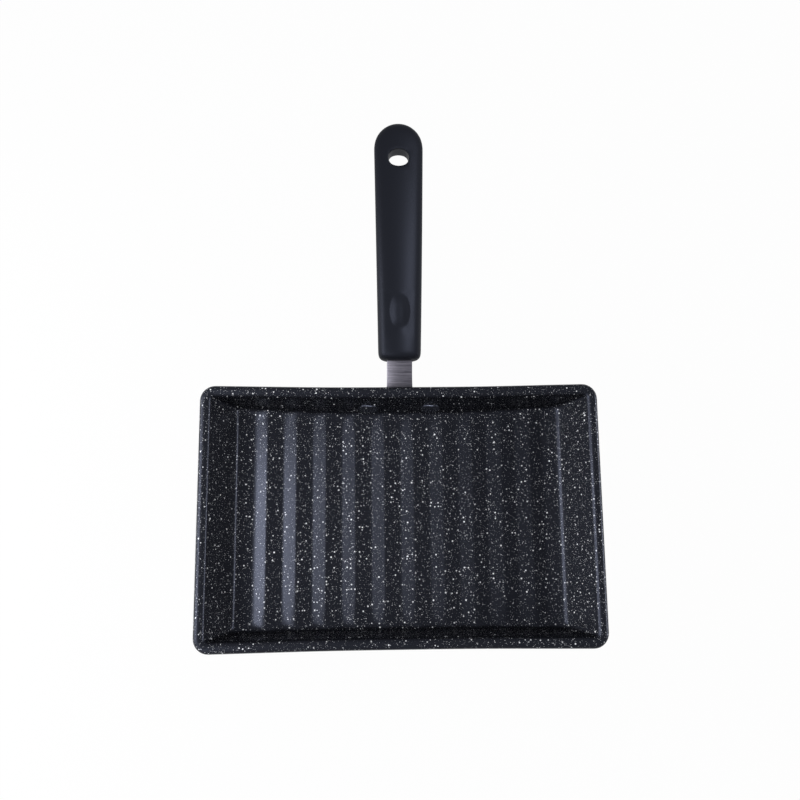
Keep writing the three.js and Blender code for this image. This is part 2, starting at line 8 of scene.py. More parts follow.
# %% Load the frame
from collections import namedtuple
from math import acos, asin, atan2, cos, degrees, hypot, pi, radians, sin, sqrt, tan

import bmesh
import bpy
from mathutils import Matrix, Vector


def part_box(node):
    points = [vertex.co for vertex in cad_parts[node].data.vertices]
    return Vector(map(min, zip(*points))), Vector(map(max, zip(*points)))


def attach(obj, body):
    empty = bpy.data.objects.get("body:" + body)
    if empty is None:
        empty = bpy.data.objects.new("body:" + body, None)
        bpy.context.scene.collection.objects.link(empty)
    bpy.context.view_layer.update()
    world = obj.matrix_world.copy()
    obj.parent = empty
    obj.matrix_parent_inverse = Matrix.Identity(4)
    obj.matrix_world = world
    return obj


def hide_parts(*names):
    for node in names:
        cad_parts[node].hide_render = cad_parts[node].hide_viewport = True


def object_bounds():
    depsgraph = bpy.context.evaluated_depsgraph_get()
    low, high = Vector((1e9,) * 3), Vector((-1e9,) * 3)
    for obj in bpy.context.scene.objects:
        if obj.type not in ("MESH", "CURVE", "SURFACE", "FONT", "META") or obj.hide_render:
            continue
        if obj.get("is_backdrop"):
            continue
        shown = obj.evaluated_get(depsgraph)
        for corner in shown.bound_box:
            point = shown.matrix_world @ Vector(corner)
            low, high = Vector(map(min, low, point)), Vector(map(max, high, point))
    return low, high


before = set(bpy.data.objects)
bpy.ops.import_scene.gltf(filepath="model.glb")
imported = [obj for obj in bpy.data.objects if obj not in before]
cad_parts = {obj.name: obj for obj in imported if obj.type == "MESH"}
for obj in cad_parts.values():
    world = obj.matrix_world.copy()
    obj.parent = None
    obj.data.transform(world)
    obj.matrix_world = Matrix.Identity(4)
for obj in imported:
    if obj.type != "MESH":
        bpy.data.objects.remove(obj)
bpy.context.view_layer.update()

MM = 0.001
print("nodes:", sorted(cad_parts))

# %% [markdown]
# ## Working by hand, in code
# An operator acts on whatever is selected, so each step first says what that is. These helpers do what the
# hand does: leave the last piece, enter edit mode, pick vertices by their place, move them and scale them.
# Scaling takes the point that stays where it is, because there is no 3D cursor to look at here.

# %% Helpers for selecting and moving


def leave_all():
    """Object mode, with nothing selected."""
    if bpy.context.mode != "OBJECT":
        bpy.ops.object.mode_set(mode="OBJECT")
    bpy.ops.object.select_all(action="DESELECT")


def hold(piece):
    """Object mode, with one piece selected and active."""
    leave_all()
    piece.select_set(True)
    bpy.context.view_layer.objects.active = piece


def edit(piece):
    """Edit mode on one piece, with nothing picked."""
    hold(piece)
    bpy.ops.object.mode_set(mode="EDIT")
    bpy.ops.mesh.select_mode(type="VERT")
    bpy.ops.mesh.select_all(action="DESELECT")


def pick(piece, test):
    """Pick the vertices that pass a test, and the edges and faces between them. Returns their numbers."""
    bpy.ops.mesh.select_all(action="DESELECT")
    mesh = bmesh.from_edit_mesh(piece.data)
    mesh.verts.index_update()
    picked = [vert for vert in mesh.verts if test(vert)]
    for vert in picked:
        vert.select = True
    mesh.select_flush_mode()
    return {vert.index for vert in picked}


def picked_now(piece):
    """The numbers of the vertices that the last operator left picked."""
    mesh = bmesh.from_edit_mesh(piece.data)
    mesh.verts.index_update()
    return {vert.index for vert in mesh.verts if vert.select}


def move(x=0, y=0, z=0):
    bpy.ops.transform.translate(value=(x, y, z))


def scale(about, x=1, y=1, z=1):
    bpy.ops.transform.resize(value=(x, y, z), center_override=about)


def draw_out(x=0, y=0, z=0):
    """Extrude the picked edges, and move the new edges."""
    bpy.ops.mesh.extrude_edges_move(TRANSFORM_OT_translate={"value": (x, y, z)})


def between(first, second, share):
    return first + (second - first) * share


def modify(piece, kind, **settings):
    """Add a modifier, set it and apply it."""
    hold(piece)
    modifier = piece.modifiers.new(kind.title(), kind)
    for name, value in settings.items():
        setattr(modifier, name, value)
    bpy.ops.object.modifier_apply(modifier=modifier.name)


def close_up(piece, merge=0.001 * MM):
    """Merge doubled vertices and point all faces outwards."""
    edit(piece)
    bpy.ops.mesh.select_all(action="SELECT")
    bpy.ops.mesh.remove_doubles(threshold=merge)
    bpy.ops.mesh.normals_make_consistent(inside=False)
    bpy.ops.object.mode_set(mode="OBJECT")


def smooth(piece, sharpest=40):
    """Smooth shading, with edges sharper than an angle in degrees kept as edges."""
    hold(piece)
    bpy.ops.object.shade_smooth_by_angle(angle=radians(sharpest))


def put_in_frame(piece, material, node):
    """The piece takes its finish, stands for its solid and rides on the one body of the pan."""
    piece.data.materials.clear()
    piece.data.materials.append(material)
    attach(piece, "root")
    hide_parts(node)
    print(f"{piece.name}: {len(piece.data.vertices)} vertices, {len(piece.data.polygons)} faces")


print("helpers ready")

# %% [markdown]
# ## The camera
# The photograph looks down on the pan from a little in front of its middle, as from a tripod arm over a
# table. The place and the turn of the camera were fitted to the outline of the rim and of the grip.

# %% Set the camera
CAMERA_PLACE = Vector((-15.4, -8.8, 518)) * MM
CAMERA_TURN = (radians(9.31), radians(-1.7), radians(-0.61))
FOCAL_SHARE = 790.3 / 800  # focal length over the width of the picture

camera = bpy.data.objects.new("camera", bpy.data.cameras.new("camera"))
bpy.context.scene.collection.objects.link(camera)
camera.location = CAMERA_PLACE
camera.rotation_euler = CAMERA_TURN
camera.data.lens = FOCAL_SHARE * camera.data.sensor_width
camera.data.clip_start = 1 * MM
bpy.context.scene.camera = camera
print("lens in mm:", round(camera.data.lens, 1))

# %% [markdown]
# ## The speckled coating
# The coating is a satin enamel, nearly black with a little blue, with flecks of pale enamel in it. The flecks
# are round drops of many sizes. A Voronoi pattern gives each of its cells one point, so the distance to that
# point draws a round drop, and the cell's random colour says how large it is and whether it is there at all.
# Three such layers, from dust to drops, look like spray, where a single one looks like a print.
# The long walls are steep and caught less of the spray. The Normal output knows which way a face looks, so
# flecks are left out where that is along Y, and the base of the coating is darker there: painted shade, for
# the shade on those walls. The rivet heads have hardly any flecks at all, and mostly take that darker base.

# %% Helpers for materials


def new_material(name):
    material = bpy.data.materials.new(name)
    material.use_nodes = True
    return material, material.node_tree, material.node_tree.nodes["Principled BSDF"]


def node(tree, kind, wires=None, **settings):
    """A node with its settings, and with its inputs wired or set."""
    made = tree.nodes.new("ShaderNode" + kind)
    for name, value in settings.items():
        setattr(made, name, value)
    for socket, source in (wires or {}).items():
        if isinstance(source, bpy.types.NodeSocket):
            tree.links.new(source, made.inputs[socket])
        else:
            made.inputs[socket].default_value = source
    return made


def maths(tree, operation, first, second=0, third=0, clamp=False):
    made = node(tree, "Math", {0: first, 1: second, 2: third}, operation=operation, use_clamp=clamp)
    return made.outputs[0]


def object_place(tree):
    return node(tree, "TexCoord").outputs["Object"]


print("material helpers ready")

# %% The flecks
Layer = namedtuple("Layer", "cell largest share")  # size of a cell, largest radius, share of cells in use
DUST = Layer(0.8 * MM, 0.14 * MM, 0.85)
FLECKS = Layer(1.35 * MM, 0.25 * MM, 0.6)
DROPS = Layer(2.6 * MM, 0.56 * MM, 0.6)
EDGE_SHARPNESS = 12
FAINTEST = 0.6


def fleck_layer(tree, place, spray_and_shade, layer):
    """A mask of drops, in a share of the cells where the spray came, each up to a largest radius."""
    pattern = node(tree, "TexVoronoi", {"Vector": place, "Scale": 1 / layer.cell})
    chance = node(tree, "SeparateColor", {"Color": pattern.outputs["Color"]})
    smallest = 0.5 * layer.largest / layer.cell
    radius = maths(tree, "MULTIPLY_ADD", chance.outputs["Red"], smallest, smallest)
    inside = maths(tree, "SUBTRACT", radius, pattern.outputs["Distance"])
    drop = maths(tree, "MULTIPLY", inside, EDGE_SHARPNESS * layer.cell / layer.largest, clamp=True)
    there = maths(tree, "LESS_THAN", chance.outputs["Green"], maths(tree, "MULTIPLY", spray_and_shade, layer.share))
    strength = maths(tree, "MULTIPLY_ADD", chance.outputs["Blue"], 1 - FAINTEST, FAINTEST)
    return maths(tree, "MULTIPLY", maths(tree, "MULTIPLY", drop, there), strength)


print("largest flecks in mm:", [round(2 * layer.largest / MM, 2) for layer in (DUST, FLECKS, DROPS)])

# %% The coating
# The first colour is painted shade, the darker base of faces that look along Y; the second is the coating's
# own base.
PAINTED_SHADE_COATING = (0.001, 0.0011, 0.0015, 1)
UNSHADED_COATING = (0.0105, 0.0112, 0.0145, 1)
PALE_ENAMEL = (0.9, 0.91, 0.93, 1)
GLOSS_LEVEL = 0.24
COOL_GLOSS = (0.76, 0.83, 1.1, 1)
FULL_SPRAY_NO_SHADE = 0.4  # the share of Y in a face's normal up to which it gets most of the spray, and no painted shade
LEAST_SPRAY_MOST_SHADE = 0.95


def speckled_coating(name, most, least):
    """The coating, with most of the spray on level faces and least on faces that look along Y, whose base is
    painted darker as shade.
    """
    material, tree, shader = new_material(name)
    place = object_place(tree)
    facing = node(tree, "SeparateXYZ", {0: node(tree, "TexCoord").outputs["Normal"]})
    along_y = maths(tree, "ABSOLUTE", facing.outputs["Y"])
    spray_and_shade = node(tree, "MapRange", {"Value": along_y, "From Min": FULL_SPRAY_NO_SHADE, "From Max": LEAST_SPRAY_MOST_SHADE,
                                    "To Min": most, "To Max": least}).outputs["Result"]
    dust, flecks, drops = (fleck_layer(tree, place, spray_and_shade, layer) for layer in (DUST, FLECKS, DROPS))
    pale = maths(tree, "MAXIMUM", dust, maths(tree, "MAXIMUM", flecks, drops))
    # Painted shade: the less spray a face gets, the darker its base.
    dark = node(tree, "Mix", {"Factor": spray_and_shade, "A": PAINTED_SHADE_COATING, "B": UNSHADED_COATING}, data_type="RGBA")
    dark = dark.outputs["Result"]
    colour = node(tree, "Mix", {"Factor": pale, "A": dark, "B": PALE_ENAMEL}, data_type="RGBA")
    tree.links.new(colour.outputs["Result"], shader.inputs["Base Color"])
    shader.inputs["Specular IOR Level"].default_value = GLOSS_LEVEL
    shader.inputs["Specular Tint"].default_value = COOL_GLOSS
    grain = node(tree, "TexNoise", {"Vector": place, "Scale": 1300, "Detail": 2})
    gloss = node(tree, "MapRange", {"Value": grain.outputs["Fac"], "To Min": 0.2, "To Max": 0.32})
    tree.links.new(gloss.outputs["Result"], shader.inputs["Roughness"])
    bump = node(tree, "Bump", {"Height": grain.outputs["Fac"], "Strength": 0.15, "Distance": 0.1 * MM})
    tree.links.new(bump.outputs["Normal"], shader.inputs["Normal"])
    return material


coating = speckled_coating("speckled_coating", 1, 0.3)
rivet_coating = speckled_coating("rivet_coating", 0.2, 0.1)
print("coating:", len(coating.node_tree.nodes), "nodes")

# %% [markdown]
# ## The pan
# The real pan is one round of press work: the floor is ribbed, the walls are drawn up, and the rim is rolled
# over a wire's width. Here it is drawn the same way, as a surface without thickness. A quarter is enough,
# because the pan is alike on both sides of both its middle lines.
#
# The floor starts as a grid whose columns are narrow, so that they can become ribs. Two flanges are drawn out
# from its sides, and the end edge of one is spun a quarter turn to the other, which makes the round corner.

# %% The floor of a quarter pan
rim_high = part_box("pan_body")[1]
SHEET = 1.2 * MM
FLOOR_HALF_WIDTH = 100.2 * MM
FLOOR_HALF_DEPTH = 66.4 * MM
RIB_PITCH = 19 * MM
COLUMNS_PER_RIB = 32
COLUMNS = 5 * COLUMNS_PER_RIB + 1
ROWS = 8
CORNER_STEPS = 8
FLANGE_STEPS = 5

grid_width = COLUMNS * (RIB_PITCH / COLUMNS_PER_RIB)
floor_corner = FLOOR_HALF_WIDTH - grid_width
grid_depth = FLOOR_HALF_DEPTH - floor_corner
step_out = floor_corner / FLANGE_STEPS
tiny = 0.01 * MM

leave_all()
bpy.ops.mesh.primitive_grid_add(x_subdivisions=COLUMNS, y_subdivisions=ROWS, size=1)
pan = bpy.context.object
pan.name = "pan"
edit(pan)
bpy.ops.mesh.select_all(action="SELECT")
scale((0, 0, 0), x=grid_width, y=grid_depth)
move(grid_width / 2, grid_depth / 2, SHEET)

pick(pan, lambda vert: vert.co.x > grid_width - tiny)
for _ in range(FLANGE_STEPS):
    draw_out(x=step_out)
pick(pan, lambda vert: vert.co.x < grid_width + tiny and vert.co.y > grid_depth - tiny)
for _ in range(FLANGE_STEPS):
    draw_out(y=step_out)
pick(pan, lambda vert: vert.co.x > grid_width - tiny and abs(vert.co.y - grid_depth) < tiny)
bpy.ops.mesh.spin(steps=CORNER_STEPS, angle=pi / 2, center=(grid_width, grid_depth, SHEET), axis=(0, 0, -1))
bpy.ops.mesh.select_all(action="SELECT")
bpy.ops.mesh.remove_doubles(threshold=tiny)
print("floor corner radius in mm:", round(floor_corner / MM, 2))

# %% [markdown]
# The walls and the rim are drawn out of the floor's edge, ring by ring: extrude the edge, then move its long
# side, its short side and its corner to their new places. Each ring has its own corner radius, because the
# walls lean out more than their corners grow. A wide fillet leads into the wall, and a round shoulder leads
# from the wall into the roll of the rim. A pressed sheet has no sharp edge, so light draws a line on both.

# %% The lean of the walls
CURL_RADIUS = 3 * MM
FOOT_RADIUS = 6 * MM
SHOULDER_RADIUS = 4.5 * MM
RIM_CORNER_RADIUS = 9.6 * MM
SHOULDER_START = 165  # angles round the rim in degrees: 0 is its outer side, 90 its top
CURL_END = -120
CURL_STEP = 15
FOOT_ANGLES = (11, 22, 33, 44, 55, 66, 77)
WALL_HEIGHTS = [height * MM for height in (8, 10.5, 13, 15.5, 18, 20.5, 23, 25)]

Outline = namedtuple("Outline", "width depth corner height")  # half the width and half the depth
curl_height = rim_high.z - CURL_RADIUS
shoulder_height = rim_high.z - SHOULDER_RADIUS


def rim_outline(inset, height):
    """An outline that lies inside the outer edge of the rim."""
    return Outline(rim_high.x - inset, rim_high.y - inset, RIM_CORNER_RADIUS - inset, height)


def flare_of(floor_half, rim_half):
    """How far a wall leans out, where it touches both the fillet of its foot and the shoulder of the lip."""
    run = rim_half - CURL_RADIUS - floor_half
    rise = shoulder_height - SHEET - FOOT_RADIUS
    return pi / 2 - atan2(rise, run) - asin((FOOT_RADIUS + SHOULDER_RADIUS) / hypot(run, rise))


def wall_run(height, flare):
    """How far the wall has come out at a height."""
    above = height - SHEET
    fillet_top = FOOT_RADIUS * (1 - sin(flare))
    if above > fillet_top:
        return FOOT_RADIUS * cos(flare) + (above - fillet_top) * tan(flare)
    return FOOT_RADIUS * sin(acos(1 - above / FOOT_RADIUS))


short_flare = flare_of(FLOOR_HALF_WIDTH, rim_high.x)
long_flare = flare_of(FLOOR_HALF_DEPTH, rim_high.y)
print("the short walls lean out", round(degrees(short_flare), 1), "degrees")
print("the long walls lean out", round(degrees(long_flare), 1), "degrees")

# %% Outlines from the floor to the edge of the rim


def wall_outline(height):
    share = (height - SHEET) / (shoulder_height - SHEET)
    corner = between(floor_corner, RIM_CORNER_RADIUS - CURL_RADIUS - SHOULDER_RADIUS, share)
    width = FLOOR_HALF_WIDTH + wall_run(height, short_flare)
    depth = FLOOR_HALF_DEPTH + wall_run(height, long_flare)
    return Outline(width, depth, corner, height)


def shoulder_outline(angle):
    inset = CURL_RADIUS - SHOULDER_RADIUS * cos(radians(angle))
    return rim_outline(inset, shoulder_height + SHOULDER_RADIUS * sin(radians(angle)))


def curl_outline(angle):
    inset = CURL_RADIUS * (1 - cos(radians(angle)))
    return rim_outline(inset, curl_height + CURL_RADIUS * sin(radians(angle)))


outlines = [Outline(FLOOR_HALF_WIDTH, FLOOR_HALF_DEPTH, floor_corner, SHEET)]
for angle in FOOT_ANGLES:
    outlines.append(wall_outline(SHEET + FOOT_RADIUS * (1 - cos(radians(angle)))))
outlines += [wall_outline(height) for height in WALL_HEIGHTS]
outlines += [shoulder_outline(angle) for angle in range(SHOULDER_START, 90, -CURL_STEP)]
outlines += [curl_outline(angle) for angle in range(90, CURL_END - 1, -CURL_STEP)]
print("outlines:", len(outlines))

# %% Draw out the walls and the rim


def grow(ring, now, then):
    """Draw the open edge of the quarter pan out from one outline to the next."""
    pick(pan, lambda vert: vert.index in ring)
    draw_out(z=then.height - now.height)
    ring = picked_now(pan)
    corner_x = now.width - now.corner - tiny
    corner_y = now.depth - now.corner - tiny
    centre = (now.width - now.corner, now.depth - now.corner, then.height)
    pick(pan, lambda vert: vert.index in ring and vert.co.y < corner_y)
    move(x=then.width - now.width)
    pick(pan, lambda vert: vert.index in ring and vert.co.x < corner_x)
    move(y=then.depth - now.depth)
    pick(pan, lambda vert: vert.index in ring and vert.co.x > corner_x and vert.co.y > corner_y)
    scale(centre, x=then.corner / now.corner, y=then.corner / now.corner)
    move(then.width - then.corner - centre[0], then.depth - then.corner - centre[1])
    return ring


def on_floor_edge(vert):
    beyond = Vector((vert.co.x - grid_width, vert.co.y - grid_depth))
    if min(beyond) > 0:
        return beyond.length > floor_corner - tiny
    return max(beyond) > floor_corner - tiny


edge = pick(pan, on_floor_edge)
for now, then in zip(outlines, outlines[1:]):
    edge = grow(edge, now, then)
print("vertices on each ring:", len(edge))

# %% [markdown]
# The ribs run from wall to wall. Every column of the floor has one height on the rib's outline, two arcs and
# a slope between them. Scaling to nothing along Z lays picked vertices flat at a height, so each column is
# picked where it is still lower than that and laid flat. The fillets stay where they are higher. Smoothing
# the heights near the walls, and only the heights, then lets the ribs run out softly as pressed ones do.

# %% Press the ribs
RIB_HEIGHT = 2.2 * MM
CREST_RADIUS = 2 * MM
VALLEY_RADIUS = 4 * MM
RUN_OUT_TOP = 5 * MM
RUN_OUT_STEPS = 4
RUN_OUT_ROUNDS = 20

half_pitch = RIB_PITCH / 2
arc_rise = RIB_HEIGHT - CREST_RADIUS - VALLEY_RADIUS
rib_slope = atan2(arc_rise, half_pitch) + asin((CREST_RADIUS + VALLEY_RADIUS) / hypot(half_pitch, arc_rise))


def rib_height(x):
    """The height of the ribbed floor, over a place along X. A valley lies at 0."""
    from_crest = abs((x % RIB_PITCH) - half_pitch)
    from_valley = half_pitch - from_crest
    if from_crest < CREST_RADIUS * sin(rib_slope):
        return SHEET + RIB_HEIGHT - CREST_RADIUS + sqrt(CREST_RADIUS**2 - from_crest**2)
    if from_valley < VALLEY_RADIUS * sin(rib_slope):
        return SHEET + VALLEY_RADIUS - sqrt(VALLEY_RADIUS**2 - from_valley**2)
    arc_end = VALLEY_RADIUS * sin(rib_slope)
    return SHEET + VALLEY_RADIUS * (1 - cos(rib_slope)) + (from_valley - arc_end) * tan(rib_slope)


mesh = bmesh.from_edit_mesh(pan.data)
columns = sorted({round(vert.co.x, 6) for vert in mesh.verts if vert.co.z < SHEET + RIB_HEIGHT})
for column in columns:
    height = rib_height(column)
    low = pick(pan, lambda vert: abs(vert.co.x - column) < tiny / 2 and vert.co.z < height - tiny)
    if low:
        scale((column, 0, height), z=0)


def near_wall(vert):
    """Whether a vertex lies where the ribs run out, at the edge of the floor or low on a wall."""
    at_edge = vert.co.y > grid_depth - step_out or vert.co.x > grid_width - RUN_OUT_STEPS * step_out
    return at_edge and vert.co.z < RUN_OUT_TOP


pick(pan, near_wall)
bpy.ops.mesh.vertices_smooth(factor=0.5, repeat=RUN_OUT_ROUNDS, xaxis=False, yaxis=False)
print("columns:", len(columns), "slope of the ribs in degrees:", round(degrees(rib_slope), 1))

# %% [markdown]
# The quarter is mirrored twice. The long sides of the real pan curve in a little between their corners, more
# at the floor than at the rim, so a lattice round the pan is drawn in at its middle. Last comes the sheet's
# thickness, inwards from this surface, which also turns the ribs into grooves underneath.

# %% Mirror, bow and thicken the pan
FAR_FLOOR_BOW = 6.4 * MM
NEAR_FLOOR_BOW = 2.4 * MM
RIM_BOW = 1.1 * MM

modify(pan, "MIRROR", use_axis=(True, True, False), merge_threshold=tiny)
edit(pan)
bpy.ops.mesh.select_all(action="SELECT")
bpy.ops.mesh.normals_make_consistent(inside=False)

leave_all()
bpy.ops.object.add(type="LATTICE", location=(0, 0, rim_high.z / 2))
cage = bpy.context.object
cage.scale = (2 * rim_high.x, 2 * rim_high.y, rim_high.z)
cage.data.points_u = 5
cage.data.interpolation_type_u = "KEY_CARDINAL"
cage.data.interpolation_type_v = "KEY_LINEAR"
cage.data.interpolation_type_w = "KEY_LINEAR"
for point in cage.data.points:
    floor_bow = FAR_FLOOR_BOW if point.co.y > 0 else NEAR_FLOOR_BOW
    bow = RIM_BOW if point.co.z > 0 else floor_bow
    share = 1 - (2 * point.co.x) ** 2
    point.co_deform.y *= 1 - share * bow / rim_high.y
bpy.context.view_layer.update()
modify(pan, "LATTICE", object=cage)
bpy.data.objects.remove(cage)
modify(pan, "SOLIDIFY", thickness=SHEET, offset=-1, use_even_offset=True, use_quality_normals=True)
smooth(pan, 50)
put_in_frame(pan, coating, "pan_body")

# %% [markdown]
# ## The grip
# The grip is a plastic moulding. Its section is nearly an ellipse, it widens towards its half-round end, and
# it levels out as it rises. A subdivided square whose edge is pulled almost to a circle gives that section.
# It is extruded along the grip, station by station, and scaled at each one.

# %% The form of the grip
grip_low, grip_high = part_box("grip")
GRIP_FRONT_HALF_WIDTH = 13.2 * MM
GRIP_END_HALF_WIDTH = 15.1 * MM
GRIP_FRONT_HALF_THICKNESS = 8.5 * MM
GRIP_END_HALF_THICKNESS = 5.2 * MM
GRIP_FRONT_HEIGHT = 27.5 * MM
GRIP_FRONT_RISE = 15
GRIP_END_RISE = 3
GRIP_EDGE_RADIUS = 4 * MM
ROUNDING = 0.95
SECTION_GAIN = 1.03  # makes up for what the subdivision takes off the section

grip_front = grip_low.y
grip_length = grip_high.y - grip_front
body_length = grip_length - GRIP_END_HALF_WIDTH


def grip_middle(along):
    """The height of the grip's middle line."""
    start = tan(radians(GRIP_FRONT_RISE))
    change = tan(radians(GRIP_END_RISE)) - start
    return GRIP_FRONT_HEIGHT + start * along + change * along**2 / (2 * grip_length)


def grip_half_width(along):
    return between(GRIP_FRONT_HALF_WIDTH, GRIP_END_HALF_WIDTH, along / body_length)


def grip_half_thickness(along):
    return between(GRIP_FRONT_HALF_THICKNESS, GRIP_END_HALF_THICKNESS, along / body_length)


Station = namedtuple("Station", "along width thickness")


def grip_stations():
    """Where the section is set along the grip: round the front edge, along the body, round the end."""
    for angle in (0, 30, 60):
        along = GRIP_EDGE_RADIUS * (1 - cos(radians(angle)))
        inset = GRIP_EDGE_RADIUS * (1 - sin(radians(angle)))
        yield Station(along, grip_half_width(along) - inset, grip_half_thickness(along) - inset)
    for along in BODY_STATIONS:
        yield Station(along, grip_half_width(along), grip_half_thickness(along))
    for angle in (0, 18, 36, 52, 66, 77, 85):
        along = body_length + GRIP_END_HALF_WIDTH * sin(radians(angle))
        thinner = sqrt(1 - sin(radians(angle)) ** 4)
        yield Station(along, GRIP_END_HALF_WIDTH * cos(radians(angle)), GRIP_END_HALF_THICKNESS * thinner)


HOLE_FROM_END = 23.6 * MM
HOLE_HALF_WIDTH = 6.4 * MM
HOLE_HALF_LENGTH = 5.7 * MM
DIMPLE_ALONG = 28.8 * MM
DIMPLE_HALF_WIDTH = 6.9 * MM
DIMPLE_HALF_LENGTH = 11 * MM
RECESS_ALONG = 46.2 * MM
RECESS_RADIUS = 4.8 * MM

hole_along = grip_length - HOLE_FROM_END


def rows_round(along, reach):
    """Five rows for a patch of four by four faces."""
    return [along + share * reach for share in (-1, -0.5, 0, 0.5, 1)]


BODY_STATIONS = [along * MM for along in (4, 8, 13, 58, 66, 75, 84, 93, 102, 111)]
BODY_STATIONS += rows_round(DIMPLE_ALONG, DIMPLE_HALF_LENGTH)
BODY_STATIONS += rows_round(RECESS_ALONG, RECESS_RADIUS)
BODY_STATIONS += rows_round(hole_along, HOLE_HALF_LENGTH)
BODY_STATIONS.sort()
stations = list(grip_stations())
print("stations:", len(stations), "length in mm:", round(grip_length / MM, 1))

# %% Extrude the grip
SECTION_CUTS = 7

leave_all()
bpy.ops.mesh.primitive_plane_add(size=2, rotation=(pi / 2, 0, 0))
grip = bpy.context.object
grip.name = "moulded_grip"
bpy.ops.object.transform_apply(rotation=True)
edit(grip)
bpy.ops.mesh.select_all(action="SELECT")
bpy.ops.mesh.subdivide(number_cuts=SECTION_CUTS)
pick(grip, lambda vert: vert.is_boundary)
bpy.ops.transform.tosphere(value=ROUNDING)
mesh = bmesh.from_edit_mesh(grip.data)
section = max(vert.co.x for vert in mesh.verts) / SECTION_GAIN

bpy.ops.mesh.select_all(action="SELECT")
scale((0, 0, 0), x=stations[0].width / section, z=stations[0].thickness / section)
move(0, grip_front, grip_middle(0))
for now, then in zip(stations, stations[1:]):
    rise = grip_middle(then.along) - grip_middle(now.along)
    bpy.ops.mesh.extrude_region_move(TRANSFORM_OT_translate={"value": (0, then.along - now.along, rise)})
    middle = (0, grip_front + then.along, grip_middle(then.along))
    scale(middle, x=then.width / now.width, z=then.thickness / now.thickness)
close_up(grip)
print("vertices of the coarse grip:", len(grip.data.vertices))

# %% [markdown]
# The hanging hole, the thumb dimple and the recess for the screw are opened in this coarse mesh, while there
# are few vertices. Each starts as a patch of four by four faces whose outline is pulled to a circle. The two
# patches of the hole are deleted and bridged, the dimple's patch is pushed down, and the patch of the recess
# is extruded into the grip. A crease on each outline keeps it crisp when the mesh is subdivided.

# %% The openings of the grip
DIMPLE_DEPTH = 2 * MM
RECESS_DEPTH = 4.2 * MM
HOLE_CREASE = 0.35
DIMPLE_CREASE = 0.65
SHRINKING = 1.026  # a subdivided ring of 16 edges becomes this much smaller
PATCH_WIDTH = 0.58  # of the grip's half width, between its second and its third column
PATCH_DEPTH = 0.5  # of the grip's half thickness
HOLE_MARGIN = 1.05  # takes in the outline of the hole


def over_middle(vert):
    """How far a vertex lies over the middle line of the grip."""
    return vert.co.z - grip_middle(vert.co.y - grip_front)


def patch(along, reach, side):
    """The vertices of the four by four faces over a place, on the top (1) or the underside (-1)."""
    half_width = PATCH_WIDTH * grip_half_width(along)
    depth = PATCH_DEPTH * grip_half_thickness(along)
    return pick(grip, lambda vert: abs(vert.co.y - grip_front - along) < reach + tiny
                and abs(vert.co.x) < half_width and side * over_middle(vert) > depth)


def make_round(along, half_width, half_length, side, crease):
    """Pull a patch to an ellipse, and crease its outline. Returns the patch and its outline."""
    inside = patch(along, half_length, side)
    mesh = bmesh.from_edit_mesh(grip.data)
    mesh.verts.ensure_lookup_table()

    def on_outline(vert):
        return any(edge.other_vert(vert).index not in inside for edge in vert.link_edges)

    rim = {number for number in inside if on_outline(mesh.verts[number])}
    middle = sum((mesh.verts[number].co for number in rim), Vector()) / len(rim)
    centre = min(inside, key=lambda number: (mesh.verts[number].co - middle).length)
    for ring, share in ((rim, 1), (inside - rim - {centre}, 0.5)):
        pick(grip, lambda vert: vert.index in ring)
        bpy.ops.transform.tosphere(value=1)
        places = [vert.co.copy() for vert in mesh.verts if vert.select]
        middle = sum(places, Vector()) / len(places)
        size = max((place - middle).length for place in places) / SHRINKING / share
        scale(middle, x=half_width / size, y=half_length / size, z=half_length / size)
    pick(grip, lambda vert: vert.index in rim)
    bpy.ops.transform.edge_crease(value=crease)
    print("patch of", len(inside), "vertices, outline of", len(rim))
    return inside, rim


edit(grip)
dimple, dimple_rim = make_round(DIMPLE_ALONG, DIMPLE_HALF_WIDTH, DIMPLE_HALF_LENGTH, 1, DIMPLE_CREASE)
recess, _ = make_round(RECESS_ALONG, RECESS_RADIUS, RECESS_RADIUS, -1, HOLE_CREASE)
for side in (1, -1):
    make_round(hole_along, HOLE_HALF_WIDTH, HOLE_HALF_LENGTH, side, HOLE_CREASE)

pick(grip, lambda vert: vert.index in dimple - dimple_rim)
move(z=-DIMPLE_DEPTH)
into_grip = Vector((0, -sin(radians(GRIP_FRONT_RISE)), cos(radians(GRIP_FRONT_RISE))))
pick(grip, lambda vert: vert.index in recess)
recess_inside = into_grip * RECESS_DEPTH
bpy.ops.mesh.extrude_region_move(TRANSFORM_OT_translate={"value": recess_inside})


def over_hole(vert):
    return hypot(vert.co.x, vert.co.y - grip_front - hole_along) < HOLE_MARGIN * SHRINKING * HOLE_HALF_WIDTH


pick(grip, over_hole)
bpy.ops.mesh.delete(type="FACE")
pick(grip, lambda vert: vert.is_boundary)
bpy.ops.mesh.bridge_edge_loops(number_cuts=2)
print("faces of the coarse grip:", len(bmesh.from_edit_mesh(grip.data).faces))

# %% [markdown]
# The tang goes into the front face through a slot. The middle faces of that face are brought to the slot's
# outline, which lies a little below the grip's middle, and are extruded as deep as the tang goes.

# %% The slot for the tang
SLOT_HALF_WIDTH = 8.3 * MM
SLOT_HALF_HEIGHT = 1.3 * MM
SLOT_BELOW_MIDDLE = 1 * MM
SLOT_DEPTH = 54 * MM
SLOT_CREASE = 0.9
UNDER_SLOT_PIVOT = 4.2  # rows below the middle of the front face
UNDER_SLOT_SCALE = 0.55  # makes room for the slot, which lies low


def on_front(vert):
    return vert.co.y < grip_front + tiny


